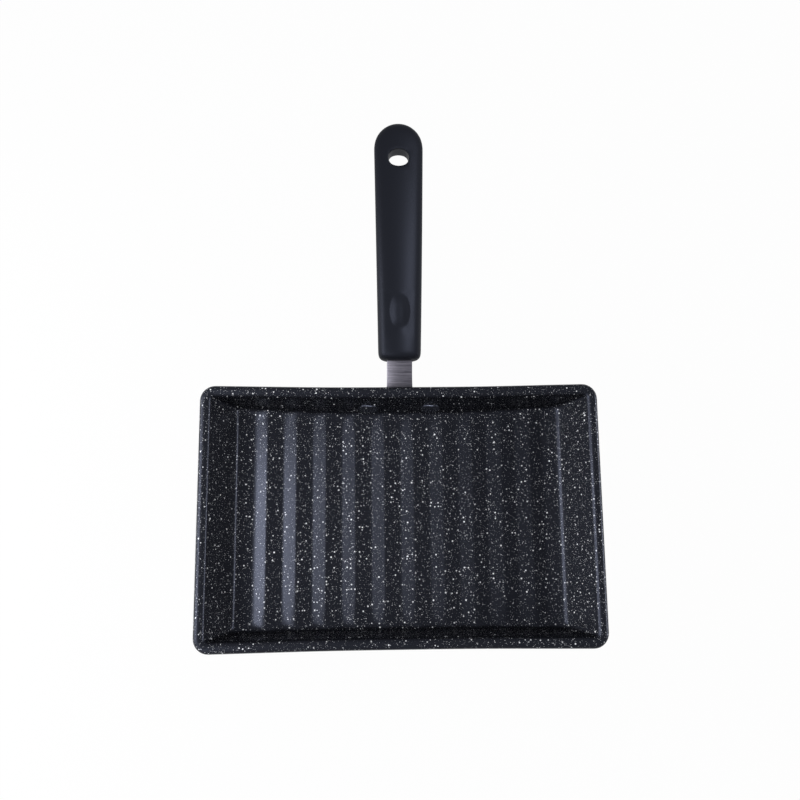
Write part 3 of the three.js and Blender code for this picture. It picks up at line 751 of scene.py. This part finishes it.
front_column = stations[0].width / section / 4
front_row = stations[0].thickness / section / 4
slot = pick(grip, lambda vert: on_front(vert) and abs(vert.co.x) < 3.5 * front_column
            and abs(over_middle(vert)) < 1.5 * front_row)
pick(grip, lambda vert: vert.index in slot and (abs(vert.co.x) > 2.5 * front_column
                                                or abs(over_middle(vert)) > 0.5 * front_row))
bpy.ops.transform.edge_crease(value=SLOT_CREASE)
pick(grip, lambda vert: on_front(vert) and abs(vert.co.x) < 3.5 * front_column
     and -3.5 * front_row < over_middle(vert) < -1.5 * front_row)
scale((0, grip_front, GRIP_FRONT_HEIGHT - UNDER_SLOT_PIVOT * front_row), z=UNDER_SLOT_SCALE)
pick(grip, lambda vert: vert.index in slot)
slot_middle = (0, grip_front, GRIP_FRONT_HEIGHT)
scale(slot_middle, x=SLOT_HALF_WIDTH / (3 * front_column), z=SLOT_HALF_HEIGHT / front_row)
move(z=-SLOT_BELOW_MIDDLE)
slot_inside = Vector((0, cos(radians(GRIP_FRONT_RISE)), sin(radians(GRIP_FRONT_RISE)))) * SLOT_DEPTH
bpy.ops.mesh.extrude_region_move(TRANSFORM_OT_translate={"value": slot_inside})
close_up(grip)
modify(grip, "SUBSURF", levels=2, render_levels=2)
smooth(grip, 45)
print("faces of the grip:", len(grip.data.polygons))

# %% [markdown]
# The plastic is black, with the faint spark-eroded grain that moulds for handles are given. The grain is
# too fine to model, so it is a bump, and it also spreads the gloss.

# %% The finish of the grip


def moulded_plastic():
    material, tree, shader = new_material("black_grip")
    grain = node(tree, "TexNoise", {"Vector": object_place(tree), "Scale": 1500, "Detail": 3})
    bump = node(tree, "Bump", {"Height": grain.outputs["Fac"], "Strength": 0.5, "Distance": 0.1 * MM})
    tree.links.new(bump.outputs["Normal"], shader.inputs["Normal"])
    shader.inputs["Base Color"].default_value = (0.0085, 0.0092, 0.0122, 1)
    shader.inputs["Specular IOR Level"].default_value = GLOSS_LEVEL
    shader.inputs["Specular Tint"].default_value = COOL_GLOSS
    shader.inputs["Roughness"].default_value = 0.46
    return material


put_in_frame(grip, moulded_plastic(), "grip")

# %% [markdown]
# ## The bracket
# The bracket is a blank of two millimetre steel: two wings for the rivets and a tang, bent once. It is drawn
# as its upper face only. A strip of three faces lies on the far wall, which is measured with a ray. The upper
# edge of its middle face is then extruded up the wall, round the bend and along the tang, and gets its
# thickness at the end, as a blank has the same thickness everywhere.

# %% The seat and the path of the bracket
RIVET_HEIGHT = 12 * MM
PLATE = 2 * MM
GAP = 0.3 * MM
WING_HALF_WIDTH = 28 * MM
WING_ABOVE_RIVETS = 5 * MM
WING_BELOW_RIVETS = 7 * MM
WING_CORNER = 5.5 * MM
NECK_HALF_WIDTH = 9.2 * MM
TANG_HALF_WIDTH = 8 * MM
TANG_CORNER = 3 * MM
TANG_INSIDE = 53 * MM
TANG_SHOWN = 16.4 * MM
TANG_RISE = radians(15)
BEND_RADIUS = 2.5 * MM
RIM_CLEARANCE = 1.5 * MM
PLATE_EDGE = 0.25 * MM

bpy.context.view_layer.update()
_, wall_place, wall_normal, _ = pan.ray_cast(Vector((0, 2 * rim_high.y, RIVET_HEIGHT)), Vector((0, -1, 0)))
wall_lean = atan2(-wall_normal.z, wall_normal.y)
up_wall = Vector((0, sin(wall_lean), cos(wall_lean)))
out_of_wall = Vector((0, cos(wall_lean), -sin(wall_lean)))
along_tang = Vector((0, cos(TANG_RISE), sin(TANG_RISE)))
over_tang = Vector((0, -sin(TANG_RISE), cos(TANG_RISE)))

rim_middle = rim_high.y - RIM_BOW
curl_middle = Vector((0, rim_middle - CURL_RADIUS, curl_height))
outer_bend = BEND_RADIUS + PLATE
seat = wall_place + GAP * out_of_wall
over_bend = curl_middle.dot(over_tang) - outer_bend - RIM_CLEARANCE - CURL_RADIUS
bend_up = (over_bend - (seat + outer_bend * out_of_wall).dot(over_tang)) / up_wall.dot(over_tang)
bend_middle = seat + outer_bend * out_of_wall + bend_up * up_wall

Step = namedtuple("Step", "place half_width")


def tang_top(y, half_width):
    start = bend_middle + outer_bend * over_tang
    return Step(start + along_tang * ((y - start.y) / along_tang.y), half_width)


def bracket_path():
    """The upper face from the wings to the end of the tang, with its half width."""
    yield Step(seat + WING_ABOVE_RIVETS * up_wall, NECK_HALF_WIDTH)
    for step in range(7):
        angle = between(pi - wall_lean, pi / 2 + TANG_RISE, step / 6)
        yield Step(bend_middle + outer_bend * Vector((0, cos(angle), sin(angle))), NECK_HALF_WIDTH)
    straight = rim_middle + TANG_SHOWN / 2
    for step in range(7):
        share = step / 6
        half_width = between(TANG_HALF_WIDTH, NECK_HALF_WIDTH, (1 - share) ** 2)
        yield tang_top(between(bend_middle.y, straight, share**2), half_width)
    yield tang_top(grip_front, TANG_HALF_WIDTH)
    yield tang_top(grip_front + TANG_INSIDE, TANG_HALF_WIDTH)


print("the far wall leans", round(degrees(wall_lean), 1), "degrees")

# %% Draw the bracket
leave_all()
bpy.ops.mesh.primitive_grid_add(x_subdivisions=3, y_subdivisions=1, size=1)
bracket = bpy.context.object
bracket.name = "steel_bracket"
edit(bracket)
bpy.ops.mesh.select_all(action="SELECT")
scale((0, 0, 0), x=2 * WING_HALF_WIDTH, y=WING_ABOVE_RIVETS + WING_BELOW_RIVETS)
move(y=(WING_ABOVE_RIVETS - WING_BELOW_RIVETS) / 2)
pick(bracket, lambda vert: abs(vert.co.x) < WING_HALF_WIDTH / 2)
scale((0, 0, 0), x=3 * NECK_HALF_WIDTH / WING_HALF_WIDTH)
bpy.ops.object.mode_set(mode="OBJECT")
bracket.rotation_euler = (pi / 2 - wall_lean, 0, 0)
bracket.location = seat
hold(bracket)
bpy.ops.object.transform_apply(location=True, rotation=True)

edit(bracket)
steps = list(bracket_path())
pick(bracket, lambda vert: abs(vert.co.x) < 1.01 * NECK_HALF_WIDTH and vert.co.z > seat.z)
for now, then in zip(steps, steps[1:]):
    draw_out(*(then.place - now.place))
    scale((0, 0, 0), x=then.half_width / now.half_width)
bpy.ops.mesh.bevel(offset=TANG_CORNER, segments=6, affect="VERTICES")
pick(bracket, lambda vert: abs(vert.co.x) > WING_HALF_WIDTH - tiny)
bpy.ops.mesh.bevel(offset=WING_CORNER, segments=8, affect="VERTICES")
bpy.ops.object.mode_set(mode="OBJECT")
modify(bracket, "SOLIDIFY", thickness=PLATE, offset=-1, use_even_offset=True)
modify(bracket, "BEVEL", width=PLATE_EDGE, segments=2, limit_method="ANGLE", angle_limit=radians(40))
smooth(bracket, 30)
print("steps along the bracket:", len(steps))

# %% [markdown]
# The steel is bare and brushed across the tang. Scratches are a noise that is stretched along X, and they
# change the gloss as well as the shade.

# %% The finish of the bracket


def brushed_steel():
    material, tree, shader = new_material("bare_steel")
    stretch = node(tree, "Mapping", {"Vector": object_place(tree), "Scale": (60, 1100, 1100)})
    scratches = node(tree, "TexNoise", {"Vector": stretch.outputs[0], "Scale": 1, "Detail": 4,
                                        "Roughness": 0.7})
    shade = node(tree, "MapRange", {"Value": scratches.outputs["Fac"], "From Min": 0.35, "From Max": 0.65})
    colour = node(tree, "Mix", {"Factor": shade.outputs["Result"], "A": (0.15, 0.143, 0.173, 1),
                                "B": (0.32, 0.305, 0.35, 1)}, data_type="RGBA")
    tree.links.new(colour.outputs["Result"], shader.inputs["Base Color"])
    gloss = node(tree, "MapRange", {"Value": scratches.outputs["Fac"], "To Min": 0.32, "To Max": 0.5})
    tree.links.new(gloss.outputs["Result"], shader.inputs["Roughness"])
    shader.inputs["Metallic"].default_value = 1
    return material


put_in_frame(bracket, brushed_steel(), "handle_bracket")

# %% [markdown]
# ## The rivets
# Two rivets hold the bracket. Their low heads lie inside the pan and are coated with it, and their tails are
# hammered over the wings. A rivet is turned work: half of its section is drawn point by point, and spun. The
# rounded edge of the head matters more than its crown, because it catches a thin arc of light.
# The wall of the modelled pan says where each one goes and which way it points.

# %% A helper for turned pieces


def turned(name, half_section, steps=48):
    """A piece round Z from points of its half section, each a radius and a height."""
    leave_all()
    bpy.ops.mesh.primitive_plane_add(size=1 * MM)
    piece = bpy.context.object
    piece.name = name
    edit(piece)
    bpy.ops.mesh.select_all(action="SELECT")
    bpy.ops.mesh.merge(type="CENTER")
    move(half_section[0][0], 0, half_section[0][1])
    for now, then in zip(half_section, half_section[1:]):
        bpy.ops.mesh.extrude_vertices_move(
            TRANSFORM_OT_translate={"value": (then[0] - now[0], 0, then[1] - now[1])})
    bpy.ops.mesh.select_all(action="SELECT")
    bpy.ops.mesh.spin(steps=steps, angle=2 * pi, center=(0, 0, 0), axis=(0, 0, 1))
    close_up(piece)
    return piece


def place(piece, location, rotation):
    piece.location = location
    piece.rotation_euler = rotation
    hold(piece)
    bpy.ops.object.transform_apply(location=True, rotation=True)


print("turning helper ready")

# %% Turn and place the rivets
RIVET_SIDE = 20 * MM
RIVET_HEAD_RADIUS = 6.5 * MM
RIVET_HEAD_HEIGHT = 1.8 * MM
RIVET_SHANK_RADIUS = 2.5 * MM
RIVET_TAIL_RADIUS = 4.5 * MM
RIVET_TAIL_HEIGHT = 2 * MM
RIVET_EDGE = 1.2 * MM
RIVET_UNDERCUT = 0.1 * MM
CROWN = 0.3 * MM
RIVET_SUNK = 0.15 * MM  # the coating fills the gap between the flat head and the bowed wall

tail_seat = -(SHEET + GAP + PLATE)


def dome(radius, base, height, edge, steps=8):
    """From the middle of a low dome, round its edge and down to its base, as radius and height."""
    middle = (radius - edge, base + height - CROWN - edge)
    points = [(0, base + height), (0.5 * middle[0], base + height - 0.25 * CROWN)]
    for step in range(steps + 1):
        angle = pi / 2 * (1 - step / steps)
        points.append((middle[0] + edge * cos(angle), middle[1] + edge * sin(angle)))
    return points + [(radius, base)]


head = dome(RIVET_HEAD_RADIUS, 0, RIVET_HEAD_HEIGHT, RIVET_EDGE)
tail = [(radius, 2 * tail_seat - height) for radius, height in
        dome(RIVET_TAIL_RADIUS, tail_seat, RIVET_TAIL_HEIGHT, RIVET_EDGE)]
rivet_section = head + [(RIVET_HEAD_RADIUS - RIVET_UNDERCUT, -RIVET_SUNK), (RIVET_SHANK_RADIUS, -RIVET_SUNK),
                        (RIVET_SHANK_RADIUS, tail_seat)] + tail[::-1]

left_rivet = turned("left_rivet", rivet_section)
smooth(left_rivet, 40)
hold(left_rivet)
bpy.ops.object.duplicate()
right_rivet = bpy.context.object
right_rivet.name = "right_rivet"
for rivet, side, node_name in ((left_rivet, -1, "rivet_left"), (right_rivet, 1, "rivet_right")):
    start = Vector((side * RIVET_SIDE, 0, RIVET_HEIGHT + SHEET * sin(wall_lean)))
    _, wall_inside, into_pan, _ = pan.ray_cast(start, Vector((0, 1, 0)))
    place(rivet, wall_inside, into_pan.to_track_quat("Z", "X").to_euler())
    put_in_frame(rivet, rivet_coating, node_name)

# %% [markdown]
# ## The screw, its washer and its insert
# A pan-head screw goes up through the recess, a split washer and the tang into a brass insert. The screw is
# turned like the rivets, and its cross slot is cut by a bar, twice. The washer and the insert are inside the
# grip, so their measured solids stay and only get their finish.

# %% The screw
SCREW_ALONG = 44 * MM
SCREW_RADIUS = 2.3 * MM
SCREW_HEAD_RADIUS = 4.5 * MM
SCREW_HEAD_TOP = -5.1 * MM  # heights along the screw, from the middle of the tang
SCREW_HEAD_LOW = -7.5 * MM
SCREW_TIP = 5 * MM
SCREW_EDGE = 1 * MM
SCREW_CHAMFER = 0.6 * MM
CROSS_WIDTH = 1.2 * MM
CROSS_LENGTH = 5 * MM
CROSS_DEPTH = 1.3 * MM

screw_section = [(radius, -height) for radius, height in
                 dome(SCREW_HEAD_RADIUS, -SCREW_HEAD_TOP, SCREW_HEAD_TOP - SCREW_HEAD_LOW, SCREW_EDGE)]
screw_section += [(SCREW_RADIUS, SCREW_HEAD_TOP), (SCREW_RADIUS, SCREW_TIP - SCREW_CHAMFER),
                  (SCREW_RADIUS - SCREW_CHAMFER, SCREW_TIP), (0, SCREW_TIP)]
screw = turned("pan_head_screw", screw_section)
for turn in (0, pi / 2):
    leave_all()
    bpy.ops.mesh.primitive_cube_add(size=1, location=(0, 0, SCREW_HEAD_LOW), rotation=(0, 0, turn))
    bar = bpy.context.object
    bar.scale = (CROSS_LENGTH, CROSS_WIDTH, 2 * CROSS_DEPTH)
    bpy.context.view_layer.update()
    modify(screw, "BOOLEAN", object=bar, operation="DIFFERENCE", solver="EXACT")
    bpy.data.objects.remove(bar)
smooth(screw, 35)
tang_middle = tang_top(grip_front + SCREW_ALONG, 0).place - PLATE / 2 * over_tang
place(screw, tang_middle, (TANG_RISE, 0, 0))


def plain_metal(name, colour, roughness):
    """A metal whose gloss is a little uneven."""
    material, tree, shader = new_material(name)
    uneven = node(tree, "TexNoise", {"Vector": object_place(tree), "Scale": 700, "Detail": 3})
    gloss = node(tree, "MapRange", {"Value": uneven.outputs["Fac"], "To Min": roughness - 0.1,
                                    "To Max": roughness + 0.1})
    tree.links.new(gloss.outputs["Result"], shader.inputs["Roughness"])
    shader.inputs["Base Color"].default_value = (*colour, 1)
    shader.inputs["Metallic"].default_value = 1
    return material


put_in_frame(screw, plain_metal("plated_steel", (0.45, 0.45, 0.48), 0.3), "grip_screw")

# %% The finish of the washer and the insert
for name, finish in (("spring_washer", plain_metal("spring_steel", (0.2, 0.2, 0.22), 0.35)),
                     ("threaded_insert", plain_metal("brass", (0.5, 0.33, 0.1), 0.35))):
    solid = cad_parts[name]
    solid.data.materials.clear()
    solid.data.materials.append(finish)
    print(name, "keeps its solid")

# %% [markdown]
# ## Floor and light
# The pan was photographed on white. The floor therefore glows white for rays that come straight from the
# camera, and partly for rays that a glossy piece mirrors, which brightens the edges that lean outwards. All
# other rays meet a plain pale floor, which takes a little shadow and sends soft light up again. It lies a
# hair below the pan, so that no two faces share a plane. The world is made white for the camera likewise.
#
# A dark glossy coating shows what it mirrors. Long strips on the left draw one pale band on the left flank of
# each rib, and the bands fade to the right, where a flank mirrors what lies above the strips. A low strip on
# each side draws the bright lines along the lips.
#
# Light linking does in Blender what a flag does in a studio. A lamp with a receiver collection lights only
# the pieces in it, so the key on the pan leaves the grip alone, and the grip keeps a broad sheen of its own.

# %% The white floor
GROUND_SIDE = 8
GROUND_DROP = 0.2 * MM
WHITE_SHARE = 0.975
MIRRORED_SHARE = 0.6

leave_all()
bpy.ops.mesh.primitive_plane_add(size=GROUND_SIDE, location=(0, 0, -GROUND_DROP))
ground = bpy.context.object
ground.name = "ground"
ground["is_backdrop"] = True
white, tree, shader = new_material("white_ground")
rays = node(tree, "LightPath")
shader.inputs["Base Color"].default_value = (0.9, 0.9, 0.9, 1)
shader.inputs["Roughness"].default_value = 0.9
glow = node(tree, "Emission", {"Color": (1, 1, 1, 1), "Strength": 1})
mirrored = maths(tree, "MULTIPLY", rays.outputs["Is Glossy Ray"], MIRRORED_SHARE)
share = maths(tree, "MULTIPLY", maths(tree, "MAXIMUM", rays.outputs["Is Camera Ray"], mirrored), WHITE_SHARE)
mixed = node(tree, "MixShader", {0: share, 1: shader.outputs[0], 2: glow.outputs[0]})
tree.links.new(mixed.outputs[0], tree.nodes["Material Output"].inputs["Surface"])
ground.data.materials.append(white)
print("the floor lies", GROUND_DROP / MM, "mm below the pan")

# %% The lamps and the world
LAMP_WHITE = (0.97, 0.98, 1)
PAN_SIDE = (pan, left_rivet, right_rivet, bracket)


def softbox(name, place, aim, size, power, pieces=()):
    """A lamp with a width and a height that shines on an aim, on all pieces or on the named ones."""
    lamp = bpy.data.lights.new(name, "AREA")
    lamp.shape = "RECTANGLE"
    lamp.size, lamp.size_y = size
    lamp.energy = power
    lamp.color = LAMP_WHITE
    holder = bpy.data.objects.new(name, lamp)
    holder.location = place
    holder.rotation_euler = (Vector(aim) - Vector(place)).to_track_quat("-Z", "Y").to_euler()
    holder.visible_camera = False
    bpy.context.scene.collection.objects.link(holder)
    if pieces:
        holder.light_linking.receiver_collection = bpy.data.collections.new(f"lit by {name}")
    for piece in pieces:
        holder.light_linking.receiver_collection.objects.link(piece)


softbox("left_key", (-0.36, -0.02, 0.347), (0, -0.02, 0), (0.2, 0.07), 0.85, PAN_SIDE)
softbox("left_strip", (-0.36, 0, 0.347), (0, 0, 0), (0.4, 0.09), 0.5, PAN_SIDE)
softbox("high_left_strip", (-0.25, 0, 0.433), (0, 0, 0), (0.4, 0.09), 0.2, PAN_SIDE)
softbox("low_left_strip", (-0.47, 0, 0.171), (0, 0, 0), (0.4, 0.09), 1.3)
softbox("near_left_box", (-0.334, -0.334, 0.37), (0, 0, 0), (0.24, 0.24), 0.45)
softbox("right_strip", (0.53, 0, 0.15), (0, 0, 0), (0.4, 0.09), 1.5, PAN_SIDE)
softbox("grip_box", (0.29, 0.11, 0.55), (0, 0.14, 0.04), (0.42, 0.15), 2.1, (grip,))
softbox("rivet_box", (0, -0.47, 0.37), (0, 0.07, 0.01), (0.5, 0.2), 16, (left_rivet, right_rivet))

world = bpy.data.worlds.new("studio")
bpy.context.scene.world = world
world.use_nodes = True
tree = world.node_tree
sky = tree.nodes["Background"]
sky.inputs["Color"].default_value = (0.35, 0.355, 0.37, 1)
backdrop = node(tree, "Background", {"Color": (1, 1, 1, 1)})
seen = node(tree, "LightPath").outputs["Is Camera Ray"]
mixed = node(tree, "MixShader", {0: seen, 1: sky.outputs[0], 2: backdrop.outputs[0]})
tree.links.new(mixed.outputs[0], tree.nodes["World Output"].inputs["Surface"])
bpy.context.scene.view_settings.view_transform = "Standard"
print("lamps:", sorted(lamp.name for lamp in bpy.data.lights))

# %% [markdown]
# ## Measure and finish
# The model has to be as large as the measured solids, so its size is printed.

# %% Measure and finish
low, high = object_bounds()
print("size of the model in mm:", [round(side / MM, 1) for side in high - low])
